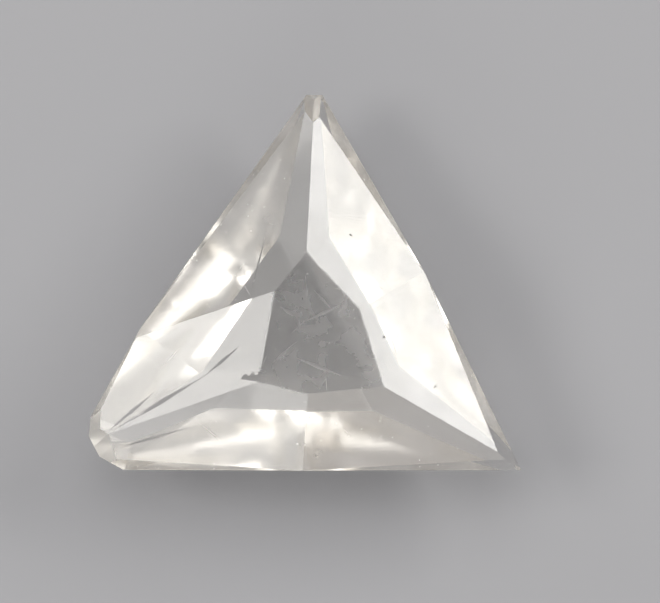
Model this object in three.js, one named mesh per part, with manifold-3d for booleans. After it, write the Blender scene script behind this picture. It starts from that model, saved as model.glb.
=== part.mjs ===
// A small triangle-cut barite gemstone, table up, standing on its flat culet.
// The stone is one piece: a triangular blank with upright walls, ground down facet by facet.
import * as THREE from 'three';
import { mergeVertices } from 'three/addons/utils/BufferGeometryUtils.js';
import Module from 'manifold-3d';

const wasm = await Module();
wasm.setup();

// Driving dimensions, in millimetres and degrees.
// Z is zero on the culet, and X and Y are zero in the middle of the stone's plan.

// Girdle outline, clockwise from the blunt top corner as seen from above.
// The fourth to seventh corners round off the worn lower left of the triangle.
const GIRDLE_CORNERS = [
  { x: 0.23, y: 2.50 },
  { x: 1.60, y: 0.11 },
  { x: 2.88, y: -2.50 },
  { x: -2.42, y: -2.50 },
  { x: -2.74, y: -2.32 },
  { x: -2.88, y: -2.05 },
  { x: -2.85, y: -1.78 },
  { x: -2.18, y: -0.60 },
  { x: 0.02, y: 2.50 },
];

// Six-sided table, clockwise from the corner below the top ridge.
// Each corner also gives the angle of the crown's main facet that starts there.
const TABLE_CORNERS = [
  { x: 0.02, y: 0.39, angle: 30 },
  { x: 0.72, y: -0.36, angle: 30 },
  { x: 1.03, y: -1.37, angle: 34 },
  { x: 0.04, y: -1.47, angle: 34 },
  { x: -0.61, y: -1.31, angle: 23 },
  { x: -0.39, y: -0.11, angle: 35 },
];

// Break facets beside the girdle, one below each main facet and in their order: each grows from
// a point on the side, where it is nothing, to its full plan width at a corner of the triangle
const BREAK_FACETS = [
  { middle: { x: 1.60, y: 0.11 }, corner: { x: 0.23, y: 2.50 }, width: 0.20 },
  { middle: { x: 1.60, y: 0.11 }, corner: { x: 2.88, y: -2.50 }, width: 0.20 },
  { middle: { x: -0.03, y: -2.50 }, corner: { x: 2.88, y: -2.50 }, width: 0.16 },
  { middle: { x: -0.03, y: -2.50 }, corner: { x: -2.42, y: -2.50 }, width: 0.14 },
  { middle: { x: -2.18, y: -0.60 }, corner: { x: -2.85, y: -1.78 }, width: 0.08 },
  { middle: { x: -2.18, y: -0.60 }, corner: { x: 0.02, y: 2.50 }, width: 0.12 },
];

// Small facets that blunt the worn corner and the top one: the short outline side
// above which each lies, and how far its upper edge is in from that side
const CORNER_FACETS = [
  { side: 3, inset: 0.12 },
  { side: 4, inset: 0.16 },
  { side: 5, inset: 0.14 },
  { side: 8, inset: 0.36 },
];

// Facet angles are measured from level
const BREAK_ANGLE = 50;
const CORNER_ANGLE = 40;
const PAVILION_ANGLE = 34;

const PAVILION_DEPTH = 0.85;
const LOWEST_CORNER_WALL = 0.18;

// Nick in the girdle: its place on the right side, and how deep the round bite goes
const NICK = { side: 1, along: 0.64, height: 1.24, radius: 0.10, bite: 0.04 };

// A grinding block this big reaches past the whole stone
const BLOCK_SIZE = 20;

const UP = new THREE.Vector3(0, 0, 1);

const nextCorner = (corners, i) => corners[(i + 1) % corners.length];

// Outward normal, in plan, of the side between two corners of a clockwise outline
const sideNormal = (from, to) => new THREE.Vector3(from.y - to.y, to.x - from.x, 0).normalize();

// Outward normal of a facet at an angle from level, facing up (1) or down (-1)
const tilt = (outward, angle, facing) => {
  const radians = THREE.MathUtils.degToRad(angle);
  return outward.clone().multiplyScalar(Math.sin(radians)).addScaledVector(UP, facing * Math.cos(radians));
};

// The crown's main facets, each through one edge of the table and sloping down and out
const crownMains = TABLE_CORNERS.map((corner, i) => ({
  corner,
  outward: sideNormal(corner, nextCorner(TABLE_CORNERS, i)),
  slope: Math.tan(THREE.MathUtils.degToRad(corner.angle)),
}));

// How far a main facet, and the whole crown, have dropped below the table at a point of the plan
const mainDrop = ({ corner, outward, slope }, { x, y }) => (
  slope * ((x - corner.x) * outward.x + (y - corner.y) * outward.y)
);
const crownDrop = (plan) => Math.max(...crownMains.map((main) => mainDrop(main, plan)));

const tableHeight = PAVILION_DEPTH + LOWEST_CORNER_WALL + Math.max(...GIRDLE_CORNERS.map(crownDrop));

const onMain = (main, plan) => new THREE.Vector3(plan.x, plan.y, tableHeight - mainDrop(main, plan));
const onCrown = (plan) => new THREE.Vector3(plan.x, plan.y, tableHeight - crownDrop(plan));

const toSolid = (geometry) => {
  const bare = geometry.clone();
  bare.deleteAttribute('normal');
  bare.deleteAttribute('uv');
  const merged = mergeVertices(bare);
  return new wasm.Manifold(new wasm.Mesh({
    numProp: 3,
    vertProperties: new Float32Array(merged.attributes.position.array),
    triVerts: new Uint32Array(merged.index.array),
  }));
};

const toGeometry = (solid) => {
  const mesh = solid.getMesh();
  const geometry = new THREE.BufferGeometry();
  geometry.setAttribute('position', new THREE.BufferAttribute(mesh.vertProperties, 3));
  geometry.setIndex(new THREE.BufferAttribute(mesh.triVerts, 1));
  geometry.computeVertexNormals();
  return geometry;
};

// Upright blank, from the culet's level to the table's
const makeBlank = () => {
  const outline = new THREE.Shape(GIRDLE_CORNERS.map(({ x, y }) => new THREE.Vector2(x, y)));
  return toSolid(new THREE.ExtrudeGeometry(outline, { depth: tableHeight, bevelEnabled: false }));
};

// Everything outside the plane through the point is ground away
const grindFacet = (stone, point, normal) => {
  const block = new THREE.BoxGeometry(BLOCK_SIZE, BLOCK_SIZE, BLOCK_SIZE);
  block.translate(0, 0, BLOCK_SIZE / 2);
  block.applyQuaternion(new THREE.Quaternion().setFromUnitVectors(UP, normal));
  block.translate(point.x, point.y, point.z);
  return stone.subtract(toSolid(block));
};

const grindCrown = (stone) => crownMains.reduce((ground, { corner, outward }) => {
  const point = new THREE.Vector3(corner.x, corner.y, tableHeight);
  return grindFacet(ground, point, tilt(outward, corner.angle, 1));
}, stone);

const grindPavilion = (stone) => GIRDLE_CORNERS.reduce((ground, corner, i) => {
  const outward = sideNormal(corner, nextCorner(GIRDLE_CORNERS, i));
  const point = new THREE.Vector3(corner.x, corner.y, PAVILION_DEPTH);
  return grindFacet(ground, point, tilt(outward, PAVILION_ANGLE, -1));
}, stone);

// Each break facet holds a slanting edge on its main facet and falls away from it to the girdle
const grindBreaks = (stone) => BREAK_FACETS.reduce((ground, { middle, corner, width }, i) => {
  const outward = sideNormal(middle, corner);
  if (outward.x * middle.x + outward.y * middle.y < 0) {
    outward.negate();
  }
  const start = onMain(crownMains[i], middle);
  const inset = { x: corner.x - outward.x * width, y: corner.y - outward.y * width };
  const end = onMain(crownMains[i], inset);
  const downhill = tilt(outward, 90 - BREAK_ANGLE, -1);
  const normal = end.clone().sub(start).cross(downhill).normalize();
  return grindFacet(ground, start, normal.dot(UP) > 0 ? normal : normal.negate());
}, stone);

const bluntCorners = (stone) => CORNER_FACETS.reduce((ground, { side, inset }) => {
  const from = GIRDLE_CORNERS[side];
  const to = nextCorner(GIRDLE_CORNERS, side);
  const outward = sideNormal(from, to);
  const point = onCrown({
    x: (from.x + to.x) / 2 - outward.x * inset,
    y: (from.y + to.y) / 2 - outward.y * inset,
  });
  return grindFacet(ground, point, tilt(outward, CORNER_ANGLE, 1));
}, stone);

const chipGirdle = (stone) => {
  const from = GIRDLE_CORNERS[NICK.side];
  const to = nextCorner(GIRDLE_CORNERS, NICK.side);
  const centre = new THREE.Vector3(from.x, from.y, NICK.height);
  centre.lerp(new THREE.Vector3(to.x, to.y, NICK.height), NICK.along);
  centre.addScaledVector(sideNormal(from, to), NICK.radius - NICK.bite);
  const flake = new THREE.IcosahedronGeometry(NICK.radius, 1);
  flake.translate(centre.x, centre.y, centre.z);
  return stone.subtract(toSolid(flake));
};

const makeGemstone = () => {
  const crowned = bluntCorners(grindBreaks(grindCrown(makeBlank())));
  const stone = chipGirdle(grindPavilion(crowned));
  const barite = new THREE.MeshStandardMaterial({ color: 0xe6e4e0, roughness: 0.08, metalness: 0 });
  const gemstone = new THREE.Mesh(toGeometry(stone), barite);
  gemstone.name = 'gemstone';
  return gemstone;
};

const part = new THREE.Group();
part.add(makeGemstone());

export default part;
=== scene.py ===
import math

import bmesh
import bpy
from mathutils import Matrix, Vector


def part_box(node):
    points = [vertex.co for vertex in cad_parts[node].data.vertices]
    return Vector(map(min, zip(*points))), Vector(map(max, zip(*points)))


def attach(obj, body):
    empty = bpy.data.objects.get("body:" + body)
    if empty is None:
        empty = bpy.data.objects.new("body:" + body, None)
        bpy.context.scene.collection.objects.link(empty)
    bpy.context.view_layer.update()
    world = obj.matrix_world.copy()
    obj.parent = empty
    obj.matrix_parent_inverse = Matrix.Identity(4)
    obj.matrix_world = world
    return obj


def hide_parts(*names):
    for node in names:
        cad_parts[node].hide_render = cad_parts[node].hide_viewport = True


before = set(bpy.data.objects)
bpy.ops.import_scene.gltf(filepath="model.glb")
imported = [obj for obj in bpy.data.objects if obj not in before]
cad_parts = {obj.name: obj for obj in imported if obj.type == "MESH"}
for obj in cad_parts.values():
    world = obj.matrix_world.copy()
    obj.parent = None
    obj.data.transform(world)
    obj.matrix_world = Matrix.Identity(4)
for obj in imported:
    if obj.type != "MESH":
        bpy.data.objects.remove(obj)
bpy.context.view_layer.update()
scene = bpy.context.scene


# Gemstone: one clear barite crystal, sawn to a triangle and ground to flat facets on a wheel.
# Barite is soft and cleaves easily, so the edges are worn and chipped, the table is scratched,
# cracks start at the blunted corner, and the polish is pitted where specks broke out.

# The stone is worked in millimetres and turned to metres when it is finished
MM = 0.001

# Faces that meet at less than the first angle are one facet, and edges sharper than the
# second are worn. Angles are in degrees.
SAME_FACET_ANGLE = 0.4
SHARP_EDGE_ANGLE = 6
WELD = 0.0005
EDGE_WEAR = 0.010
WEAR_SEGMENTS = 2


def merged_copy(node, name):
    """A welded copy of the ground stone, in millimetres, with one face for each facet."""
    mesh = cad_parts[node].data.copy()
    mesh.materials.clear()
    stone = bmesh.new()
    stone.from_mesh(mesh)
    bmesh.ops.scale(stone, vec=(1 / MM, 1 / MM, 1 / MM), verts=stone.verts)
    bmesh.ops.remove_doubles(stone, verts=stone.verts, dist=WELD)
    same_facet = math.radians(SAME_FACET_ANGLE)
    bmesh.ops.dissolve_limit(stone, angle_limit=same_facet, verts=stone.verts, edges=stone.edges)
    stone.to_mesh(mesh)
    stone.free()
    # The CAD file's own shading and map aren't used
    for key in ("custom_normal", "sharp_face", "UVMap"):
        if key in mesh.attributes:
            mesh.attributes.remove(mesh.attributes[key])
    piece = bpy.data.objects.new(name, mesh)
    scene.collection.objects.link(piece)
    return piece


def apply_modifiers(piece):
    """Turns the evaluated result into the piece's own plain mesh."""
    graph = bpy.context.evaluated_depsgraph_get()
    mesh = bpy.data.meshes.new_from_object(piece.evaluated_get(graph))
    piece.modifiers.clear()
    piece.data = mesh


gem = merged_copy("gemstone", "barite_gemstone")
table_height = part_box("gemstone")[1][2] / MM

wear = gem.modifiers.new("worn_edges", "BEVEL")
wear.width = EDGE_WEAR
wear.segments = WEAR_SEGMENTS
wear.limit_method = "ANGLE"
wear.angle_limit = math.radians(SHARP_EDGE_ANGLE)
apply_modifiers(gem)

# Scratches, cracks and specks: both ends in plan, the width of the groove, and its depth as a
# share of that width. Scratches are dull, and cracks and specks are deep and clean.
SCRATCHES = (
    ((-0.33, -0.32), (-0.10, -0.46), 0.060, 0.08),
    ((-0.12, -0.42), (-0.05, -0.66), 0.050, 0.08),
    ((-0.06, -0.55), (0.56, -0.25), 0.050, 0.08),
    ((-0.16, -0.98), (0.50, -1.24), 0.060, 0.08),
    ((0.01, 0.10), (0.02, -0.32), 0.050, 0.08),
    ((0.12, -0.10), (0.36, -0.36), 0.040, 0.08),
    ((-0.42, -1.06), (-0.18, -0.84), 0.040, 0.08),
    ((-0.51, 0.66), (-0.72, -0.16), 0.030, 0.40),
)
CRACKS = (
    ((-2.62, -1.98), (-1.98, -1.44), 0.050, 1.4),
    ((-2.54, -1.96), (-1.28, -1.21), 0.060, 1.4),
    ((-1.34, -1.25), (-0.86, -0.84), 0.045, 1.4),
    ((-2.45, -2.19), (-1.55, -1.93), 0.045, 1.2),
)
SPECKS = (
    ((1.70, -1.40), (1.75, -1.35), 0.040, 0.6),
    ((1.02, -0.74), (1.07, -0.71), 0.034, 0.6),
    ((0.58, 0.64), (0.63, 0.62), 0.030, 0.6),
)

# A level step broken out of the table's lower left corner: its jagged outline and its depth
STEP_OUTLINE = (
    (-0.52, -1.32), (-0.54, -1.22), (-0.60, -1.17), (-0.64, -1.23),
    (-0.69, -1.18), (-0.74, -1.24), (-0.78, -1.20), (-0.87, -1.28),
)
STEP_DEPTH = 0.10

# How frosted the walls of each are, from polished (0) to freshly broken (1)
SCRATCH_FROST = 0.4
CRACK_FROST = 0.0
STEP_FROST = 0.1

# A level above the whole stone, from which its upper side is looked for
ABOVE_STONE = 5.0
DOWN = Vector((0, 0, -1))


def on_stone(x, y):
    """The point of the stone's upper side at a place of the plan, and the facet's normal there."""
    _, point, normal, _ = gem.ray_cast(Vector((x, y, ABOVE_STONE)), DOWN)
    return point, normal


def groove(cuts, frost, start, end, width, depth_share):
    """A long eight-sided diamond that leaves a groove, pointed at both ends, in one facet."""
    first, normal = on_stone(*start)
    last, _ = on_stone(*end)
    middle = (first + last) / 2
    side = normal.cross(last - first).normalized() * width / 2
    drop = normal * width * depth_share
    tips = [cuts.verts.new(point) for point in (first, last)]
    ring = [cuts.verts.new(middle + shift) for shift in (side, drop, -side, -drop)]
    broken = cuts.faces.layers.float["broken"]
    for i in range(len(ring)):
        cuts.faces.new((tips[0], ring[i], ring[i - 1]))[broken] = frost
        cuts.faces.new((tips[1], ring[i - 1], ring[i]))[broken] = frost


def step(cuts, frost, outline, depth):
    """An upright block with a jagged outline that leaves a level step below the table."""
    broken = cuts.faces.layers.float["broken"]
    rings = []
    for height in (table_height - depth, ABOVE_STONE):
        rings.append([cuts.verts.new((x, y, height)) for x, y in outline])
        cuts.faces.new(rings[-1])[broken] = frost
    low, high = rings
    for i in range(len(outline)):
        cuts.faces.new((low[i - 1], low[i], high[i], high[i - 1]))[broken] = frost


cuts = bmesh.new()
cuts.faces.layers.float.new("broken")
step(cuts, STEP_FROST, STEP_OUTLINE, STEP_DEPTH)
for scratch in SCRATCHES:
    groove(cuts, SCRATCH_FROST, *scratch)
for crack in CRACKS + SPECKS:
    groove(cuts, CRACK_FROST, *crack)
bmesh.ops.recalc_face_normals(cuts, faces=cuts.faces)
cut_mesh = bpy.data.meshes.new("grooves")
cuts.to_mesh(cut_mesh)
cuts.free()
grooves = bpy.data.objects.new("grooves", cut_mesh)
scene.collection.objects.link(grooves)

# Roughness of the polish: a haze all over, the scuffs that add to it on the table, and what a
# freshly broken face adds. Each pair runs from the best patches to the worst.
HAZE = (0.05, 0.14)
SCUFFS = (0.06, 0.36)
FROST = 0.35

# Lines left by the polishing wheel along X: how closely the noise that draws them is packed on
# each axis, per metre, and how deep they are, in metres
WHEEL_LINES = (2500.0, 45000.0, 2500.0)
WHEEL_LINE_DEPTH = 0.000001


def make_barite():
    """Clear barite: light bends at 1.64, the polish is hazy in places, and breaks are frosted."""
    material = bpy.data.materials.new("polished_barite")
    material.use_nodes = True
    tree = material.node_tree
    wire = tree.links.new
    place = tree.nodes.new("ShaderNodeTexCoord").outputs["Object"]
    shader = tree.nodes["Principled BSDF"]
    shader.inputs["Base Color"].default_value = (1.0, 1.0, 1.0, 1.0)
    shader.inputs["IOR"].default_value = 1.64
    shader.inputs["Transmission Weight"].default_value = 1.0

    def patches(scale, detail, distortion, noise_span, roughness):
        """Soft patches of roughness, spread over the middle values of a noise."""
        noise = tree.nodes.new("ShaderNodeTexNoise")
        noise.inputs["Scale"].default_value = scale
        noise.inputs["Detail"].default_value = detail
        noise.inputs["Distortion"].default_value = distortion
        spread = tree.nodes.new("ShaderNodeMapRange")
        for name, value in zip(("From Min", "From Max", "To Min", "To Max"), noise_span + roughness):
            spread.inputs[name].default_value = value
        wire(place, noise.inputs["Vector"])
        wire(noise.outputs["Fac"], spread.inputs["Value"])
        return spread.outputs["Result"]

    haze = patches(scale=2200.0, detail=6.0, distortion=0.0, noise_span=(0.35, 0.70), roughness=HAZE)
    scuffs = patches(scale=3200.0, detail=3.0, distortion=0.6, noise_span=(0.38, 0.80), roughness=SCUFFS)

    broken = tree.nodes.new("ShaderNodeAttribute")
    broken.attribute_name = "broken"
    frosted = tree.nodes.new("ShaderNodeMath")
    frosted.operation = "MULTIPLY_ADD"
    frosted.inputs[1].default_value = FROST
    wire(broken.outputs["Fac"], frosted.inputs[0])
    wire(haze, frosted.inputs[2])

    level = tree.nodes.new("ShaderNodeSeparateXYZ")
    on_table = tree.nodes.new("ShaderNodeMath")
    on_table.operation = "GREATER_THAN"
    on_table.inputs[1].default_value = (table_height - EDGE_WEAR) * MM
    scuffed = tree.nodes.new("ShaderNodeMath")
    scuffed.operation = "MULTIPLY_ADD"
    wire(place, level.inputs["Vector"])
    wire(level.outputs["Z"], on_table.inputs[0])
    wire(on_table.outputs["Value"], scuffed.inputs[0])
    wire(scuffs, scuffed.inputs[1])
    wire(frosted.outputs["Value"], scuffed.inputs[2])
    wire(scuffed.outputs["Value"], shader.inputs["Roughness"])

    wheel = tree.nodes.new("ShaderNodeMapping")
    wheel.inputs["Scale"].default_value = WHEEL_LINES
    lines = tree.nodes.new("ShaderNodeTexNoise")
    lines.inputs["Scale"].default_value = 1.0
    lines.inputs["Detail"].default_value = 2.0
    bump = tree.nodes.new("ShaderNodeBump")
    bump.inputs["Strength"].default_value = 0.25
    bump.inputs["Distance"].default_value = WHEEL_LINE_DEPTH
    wire(place, wheel.inputs["Vector"])
    wire(wheel.outputs["Vector"], lines.inputs["Vector"])
    wire(lines.outputs["Fac"], bump.inputs["Height"])
    wire(bump.outputs["Normal"], shader.inputs["Normal"])

    tint = tree.nodes.new("ShaderNodeVolumeAbsorption")
    tint.inputs["Color"].default_value = (0.93, 0.90, 0.84, 1.0)
    tint.inputs["Density"].default_value = 180.0
    wire(tint.outputs["Volume"], tree.nodes["Material Output"].inputs["Volume"])
    return material


# Chips, pits and hairlines are cut by jagged flakes: how far a flake's points are moved, the
# smallest flake's share of the full size, and the power that leaves only a few of them large
FLAKE_JAG = 0.25
SMALLEST_FLAKE = 0.25
FEW_LARGE_POWER = 4.0
CHIP_SUBDIVISIONS = 2
SMALL_SUBDIVISIONS = 1
EVEN_SHAPE = (1.0, 1.0, 1.0)
HAIRLINE_SHAPE = (1.0, 0.022, 0.010)
ANY_TURN = (math.tau, math.tau, math.tau)
LEVEL_TURN = (0.0, 0.0, math.tau)

# Pits lie in drifts: the noise that makes them, per millimetre, and the two values of it
# between which the pits go from none to their full density
DRIFT_SCALE = 1.6
DRIFT_DETAIL = 3.0
DRIFT_NONE = 0.48
DRIFT_FULL = 0.68


def make_break_tree():
    """Chips along the thin worn edges, pits in drifts over the facets, and hairlines on the table."""
    tree = bpy.data.node_groups.new("broken_barite", "GeometryNodeTree")
    wire = tree.links.new
    input_kinds = {
        "Stone": "Geometry",
        "Grooves": "Object",
        "Finish": "Material",
        "Worn Corner": "Vector",
        "Worn Reach": "Float",
        "Worn Facet Area": "Float",
        "Worn Frost": "Float",
        "Table Height": "Float",
        "Edge Strip Area": "Float",
        "Chip Density": "Float",
        "Chip Size": "Float",
        "Pit Density": "Float",
        "Pit Size": "Float",
        "Hairline Density": "Float",
        "Hairline Length": "Float",
        "Seed": "Int",
    }
    for name, kind in input_kinds.items():
        tree.interface.new_socket(name, in_out="INPUT", socket_type="NodeSocket" + kind)
    tree.interface.new_socket("Stone", in_out="OUTPUT", socket_type="NodeSocketGeometry")

    def node(kind, **settings):
        made = tree.nodes.new(kind)
        for key, value in settings.items():
            setattr(made, key, value)
        return made

    given = node("NodeGroupInput").outputs
    area = node("GeometryNodeInputMeshFaceArea").outputs["Area"]
    position = node("GeometryNodeInputPosition").outputs["Position"]

    def compare(kind, value, limit):
        test = node("FunctionNodeCompare", data_type="FLOAT", operation=kind)
        wire(value, test.inputs["A"])
        wire(limit, test.inputs["B"])
        return test.outputs["Result"]

    def logic(kind, *sources):
        both = node("FunctionNodeBooleanMath", operation=kind)
        for source, target in zip(sources, both.inputs):
            wire(source, target)
        return both.outputs["Boolean"]

    def product(first, second):
        times = node("ShaderNodeMath", operation="MULTIPLY")
        wire(first, times.inputs[0])
        wire(second, times.inputs[1])
        return times.outputs["Value"]

    edge_strip = compare("LESS_THAN", area, given["Edge Strip Area"])
    facet = logic("NOT", edge_strip)
    height = node("ShaderNodeSeparateXYZ")
    wire(position, height.inputs["Vector"])
    high = compare("GREATER_THAN", height.outputs["Z"], given["Table Height"])
    table = logic("AND", facet, high)

    apart = node("ShaderNodeVectorMath", operation="DISTANCE")
    wire(position, apart.inputs[0])
    wire(given["Worn Corner"], apart.inputs[1])
    near = compare("LESS_THAN", apart.outputs["Value"], given["Worn Reach"])
    small = compare("LESS_THAN", area, given["Worn Facet Area"])
    worn = product(logic("AND", near, small), given["Worn Frost"])

    drifts = node("ShaderNodeTexNoise")
    drifts.inputs["Scale"].default_value = DRIFT_SCALE
    drifts.inputs["Detail"].default_value = DRIFT_DETAIL
    drift = node("ShaderNodeMapRange")
    drift.inputs["From Min"].default_value = DRIFT_NONE
    drift.inputs["From Max"].default_value = DRIFT_FULL
    wire(drifts.outputs["Fac"], drift.inputs["Value"])

    def flakes(where, density, size, subdivisions, shape, turns):
        """Irregular flakes set on the faces that are named, a few large and most small."""
        scatter = node("GeometryNodeDistributePointsOnFaces", distribute_method="RANDOM")
        wire(given["Stone"], scatter.inputs["Mesh"])
        wire(where, scatter.inputs["Selection"])
        wire(density, scatter.inputs["Density"])
        wire(given["Seed"], scatter.inputs["Seed"])

        flake = node("GeometryNodeMeshIcoSphere")
        flake.inputs["Radius"].default_value = 1.0
        flake.inputs["Subdivisions"].default_value = subdivisions
        jag = node("FunctionNodeRandomValue", data_type="FLOAT_VECTOR")
        jag.inputs["Min"].default_value = (-FLAKE_JAG, -FLAKE_JAG, -FLAKE_JAG)
        jag.inputs["Max"].default_value = (FLAKE_JAG, FLAKE_JAG, FLAKE_JAG)
        wire(given["Seed"], jag.inputs["Seed"])
        rough = node("GeometryNodeSetPosition")
        wire(flake.outputs["Mesh"], rough.inputs["Geometry"])
        wire(jag.outputs["Value"], rough.inputs["Offset"])

        chance = node("FunctionNodeRandomValue", data_type="FLOAT")
        wire(given["Seed"], chance.inputs["Seed"])
        few_large = node("ShaderNodeMath", operation="POWER")
        few_large.inputs[1].default_value = FEW_LARGE_POWER
        wire(chance.outputs["Value"], few_large.inputs[0])
        spread = node("ShaderNodeMapRange")
        spread.inputs["To Min"].default_value = SMALLEST_FLAKE
        wire(few_large.outputs["Value"], spread.inputs["Value"])
        stretch = node("ShaderNodeVectorMath", operation="SCALE")
        stretch.inputs["Vector"].default_value = shape
        wire(product(spread.outputs["Result"], size), stretch.inputs["Scale"])
        turn = node("FunctionNodeRandomValue", data_type="FLOAT_VECTOR")
        turn.inputs["Max"].default_value = turns
        wire(given["Seed"], turn.inputs["Seed"])

        placed = node("GeometryNodeInstanceOnPoints")
        wire(scatter.outputs["Points"], placed.inputs["Points"])
        wire(rough.outputs["Geometry"], placed.inputs["Instance"])
        wire(turn.outputs["Value"], placed.inputs["Rotation"])
        wire(stretch.outputs["Vector"], placed.inputs["Scale"])
        return placed.outputs["Instances"]

    def joined(*sources):
        together = node("GeometryNodeJoinGeometry")
        for source in sources:
            wire(source, together.inputs["Geometry"])
        return together.outputs["Geometry"]

    def realized(source):
        real = node("GeometryNodeRealizeInstances")
        wire(source, real.inputs["Geometry"])
        return real.outputs["Geometry"]

    def marked(geometry):
        """Keeps on each face how frosted it is, from polished (0) to freshly broken (1)."""
        store = node("GeometryNodeStoreNamedAttribute", data_type="FLOAT", domain="FACE")
        store.inputs["Name"].default_value = "broken"
        store.inputs["Value"].default_value = 1.0
        wire(geometry, store.inputs["Geometry"])
        return store

    chips = flakes(
        edge_strip, given["Chip Density"], given["Chip Size"],
        CHIP_SUBDIVISIONS, EVEN_SHAPE, ANY_TURN)
    pits = flakes(
        facet, product(given["Pit Density"], drift.outputs["Result"]), given["Pit Size"],
        SMALL_SUBDIVISIONS, EVEN_SHAPE, ANY_TURN)
    hairlines = flakes(
        table, given["Hairline Density"], given["Hairline Length"],
        SMALL_SUBDIVISIONS, HAIRLINE_SHAPE, LEVEL_TURN)

    lines = node("GeometryNodeObjectInfo", transform_space="RELATIVE")
    wire(given["Grooves"], lines.inputs["Object"])
    broken_out = marked(realized(joined(chips, pits, hairlines))).outputs["Geometry"]
    polished = marked(given["Stone"])
    wire(worn, polished.inputs["Value"])

    cut = node("GeometryNodeMeshBoolean", operation="DIFFERENCE", solver="EXACT")
    cut.inputs["Self Intersection"].default_value = True
    wire(polished.outputs["Geometry"], cut.inputs["Mesh 1"])
    wire(joined(broken_out, lines.outputs["Geometry"]), cut.inputs["Mesh 2"])

    finished = node("GeometryNodeSetMaterial")
    wire(realized(cut.outputs["Mesh"]), finished.inputs["Geometry"])
    wire(given["Finish"], finished.inputs["Material"])
    result = node("NodeGroupOutput")
    wire(finished.outputs["Geometry"], result.inputs["Stone"])
    return tree


breaking = gem.modifiers.new("broken_barite", "NODES")
breaking.node_group = make_break_tree()
break_sizes = {
    "Grooves": grooves,
    "Finish": make_barite(),
    "Worn Corner": (-2.72, -2.14, 1.0),
    "Worn Reach": 0.42,
    "Worn Facet Area": 0.09,
    "Worn Frost": 1.0,
    "Table Height": table_height - EDGE_WEAR,
    "Edge Strip Area": 0.03,
    "Chip Density": 45.0,
    "Chip Size": 0.03,
    "Pit Density": 45.0,
    "Pit Size": 0.013,
    "Hairline Density": 4.0,
    "Hairline Length": 0.40,
    "Seed": 7,
}
for item in breaking.node_group.interface.items_tree:
    if item.in_out == "INPUT" and item.name in break_sizes:
        breaking[item.identifier] = break_sizes[item.name]
apply_modifiers(gem)
bpy.data.objects.remove(grooves)

# The cut leaves an empty material slot in front of the stone's own
gem.data.materials.pop(index=0)
gem.data.shade_flat()
gem.data.transform(Matrix.Scale(MM, 4))

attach(gem, "root")
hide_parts("gemstone")


# Floor: a plain matt sheet of pale grey card that the stone stands on with its culet.
# It lies a hair below the stone, so that card and culet don't share one level.

FLOOR_HALF = 1.0
FLOOR_GAP = 0.00002

floor_mesh = bpy.data.meshes.new("floor")
floor_mesh.from_pydata(
    [(-FLOOR_HALF, -FLOOR_HALF, -FLOOR_GAP), (FLOOR_HALF, -FLOOR_HALF, -FLOOR_GAP),
     (FLOOR_HALF, FLOOR_HALF, -FLOOR_GAP), (-FLOOR_HALF, FLOOR_HALF, -FLOOR_GAP)],
    [], [(0, 1, 2, 3)])
floor = bpy.data.objects.new("floor", floor_mesh)
scene.collection.objects.link(floor)
card = bpy.data.materials.new("pale_card")
card.use_nodes = True
card_shader = card.node_tree.nodes["Principled BSDF"]
card_shader.inputs["Base Color"].default_value = (0.34, 0.34, 0.355, 1.0)
card_shader.inputs["Roughness"].default_value = 0.9
card_shader.inputs["Specular IOR Level"].default_value = 0.1
floor_mesh.materials.append(card)


# Studio light: soft boxes that stand round the stone and face it, in a pale room.
# The strongest is low on the right, where the right-hand crown facets mirror it to the camera.

LIGHT_DISTANCE = 0.30


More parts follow.
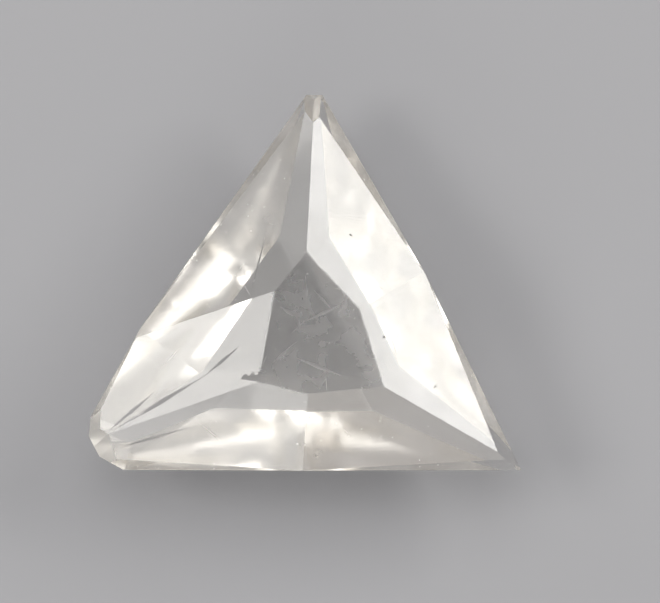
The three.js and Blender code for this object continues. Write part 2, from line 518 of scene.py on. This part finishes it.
def soft_box(name, azimuth, elevation, width, height, radiance, colour):
    """A rectangular soft light that faces the stone, in metres and degrees."""
    lamp = bpy.data.lights.new(name, "AREA")
    lamp.shape = "RECTANGLE"
    lamp.size = width
    lamp.size_y = height
    lamp.energy = radiance * width * height * math.pi
    lamp.color = colour
    box = bpy.data.objects.new(name, lamp)
    turn = math.radians(azimuth)
    rise = math.radians(elevation)
    level = math.cos(rise)
    towards = Vector((level * math.cos(turn), level * math.sin(turn), math.sin(rise)))
    box.location = towards * LIGHT_DISTANCE
    box.rotation_euler = towards.to_track_quat("Z", "Y").to_euler()
    scene.collection.objects.link(box)


# Each box's azimuth and elevation, width and height, brightness and colour
soft_box("key", 30, 30, 0.22, 0.065, 9.4, (1.0, 0.985, 0.95))
soft_box("low_right_card", 20, 11, 0.35, 0.09, 1.1, (1.0, 0.97, 0.93))
soft_box("back_card", 68, 14, 0.16, 0.11, 1.3, (1.0, 0.98, 0.95))
soft_box("back_left_card", 105, 14, 0.16, 0.11, 0.7, (1.0, 0.90, 0.78))
soft_box("top_card", 100, 62, 0.25, 0.25, 1.8, (1.0, 0.99, 0.97))
soft_box("left_fill", 170, 44, 0.15, 0.10, 6.8, (1.0, 0.98, 0.94))
soft_box("left_low_fill", 141, 20, 0.125, 0.09, 1.4, (1.0, 0.98, 0.94))
soft_box("front_left_fill", -106, 22, 0.11, 0.10, 3.6, (1.0, 0.98, 0.94))
soft_box("front_right_fill", -80, 22, 0.10, 0.10, 1.4, (1.0, 0.90, 0.79))

room = bpy.data.worlds.new("room")
room.use_nodes = True
room.node_tree.nodes["Background"].inputs["Color"].default_value = (0.39, 0.39, 0.395, 1.0)
scene.world = room

# Light is followed through many facets before it leaves the stone
scene.cycles.max_bounces = 32
scene.cycles.transmission_bounces = 32
scene.cycles.glossy_bounces = 24
scene.view_settings.view_transform = "Standard"


# Camera: straight above the table, as the photograph looks at the stone.
# A long lens shows it almost without perspective. Lens and sensor are in millimetres.

LENS = 490
SENSOR = 36

# The frame's width in metres, the height at which it holds, and the point of the plan in its middle
FRAME_WIDTH = 0.0088
FRAME_LEVEL = 0.001
AIM = (0.000333, -0.000253)

camera_data = bpy.data.cameras.new("camera")
camera_data.lens = LENS
camera_data.sensor_width = SENSOR
camera_data.clip_start = 0.001
camera = bpy.data.objects.new("camera", camera_data)
camera.location = (AIM[0], AIM[1], FRAME_WIDTH * LENS / SENSOR + FRAME_LEVEL)
scene.collection.objects.link(camera)
scene.camera = camera

bpy.context.view_layer.update()
